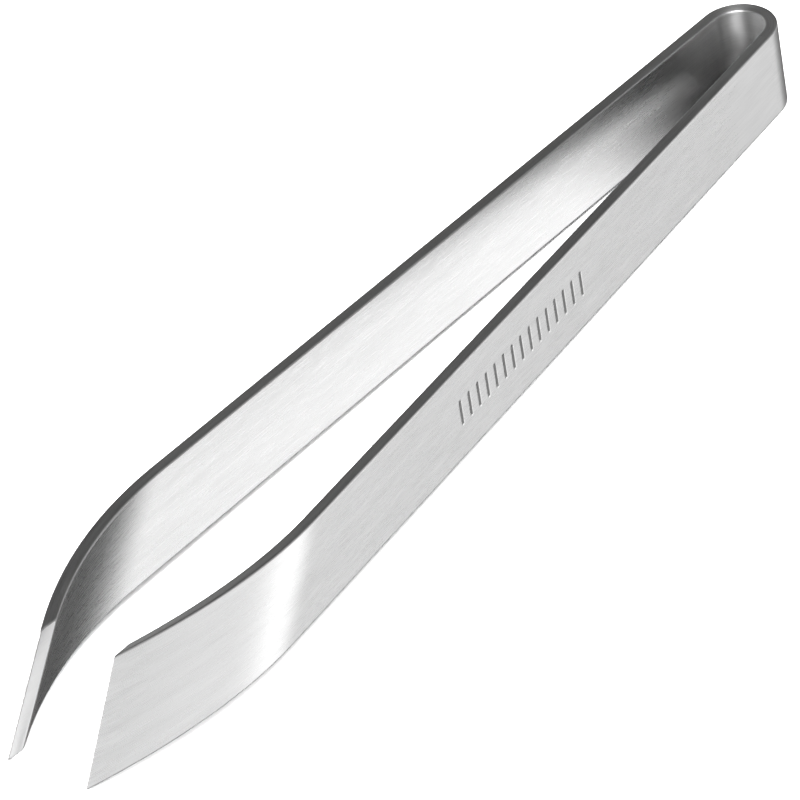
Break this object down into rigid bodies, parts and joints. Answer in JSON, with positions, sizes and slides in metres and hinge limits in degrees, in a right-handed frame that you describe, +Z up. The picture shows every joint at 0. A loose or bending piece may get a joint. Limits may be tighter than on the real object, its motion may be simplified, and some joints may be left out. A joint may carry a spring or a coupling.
{
  "type": "slant tweezers",
  "caption": "Slant-tip tweezers in brushed stainless steel: a flat spring strip folded into a bow, with slender arms and inward-curved tips cut on a slant.",
  "frame": {"origin": "on the surface the tweezers stand on, under the centre of their bounding box", "axes": "+X from the bow to the tips, +Y towards the arm that carries the mark, +Z up across the width of the strip"},
  "size_m": [0.0952, 0.016, 0.0087],
  "materials": {
    "steel": "fine lengthwise brushing, ground bright on the tip faces"
  },
  "bodies": {
    "bow": {"bow": "steel"},
    "left_shank": {"left_shank": "steel"},
    "left_arm": {"left_grip": "steel", "left_tip": "steel"},
    "right_shank": {"right_shank": "steel"},
    "right_arm": {"right_grip": "steel", "right_tip": "steel"}
  },
  "joints": [
    {"name": "left_root_flex", "type": "hinge", "parent": "bow", "child": "left_shank", "pos_m": [-0.03652, 0.00322, 0.00382], "axis": [0.0119, 0, -0.9999], "range_deg": [-0.6, 1.77], "stiffness_Nm_per_rad": 5},
    {"name": "left_mid_flex", "type": "hinge", "parent": "left_shank", "child": "left_arm", "pos_m": [-0.01756, 0.00446, 0.00404], "axis": [0.0119, 0, -0.9999], "range_deg": [-0.33, 0.95], "stiffness_Nm_per_rad": 5},
    {"name": "right_root_flex", "type": "hinge", "parent": "bow", "child": "right_shank", "pos_m": [-0.03652, -0.00322, 0.00382], "axis": [-0.0119, 0, 0.9999], "range_deg": [-0.6, 1.77], "stiffness_Nm_per_rad": 5},
    {"name": "right_mid_flex", "type": "hinge", "parent": "right_shank", "child": "right_arm", "pos_m": [-0.01756, -0.00446, 0.00404], "axis": [-0.0119, 0, 0.9999], "range_deg": [-0.33, 0.95], "stiffness_Nm_per_rad": 5}
  ],
  "couplings": [
    {"joint": "left_mid_flex", "follows": "left_root_flex", "ratio": 0.5367},
    {"joint": "right_root_flex", "follows": "left_root_flex", "ratio": 1},
    {"joint": "right_mid_flex", "follows": "left_root_flex", "ratio": 0.5367}
  ]
}
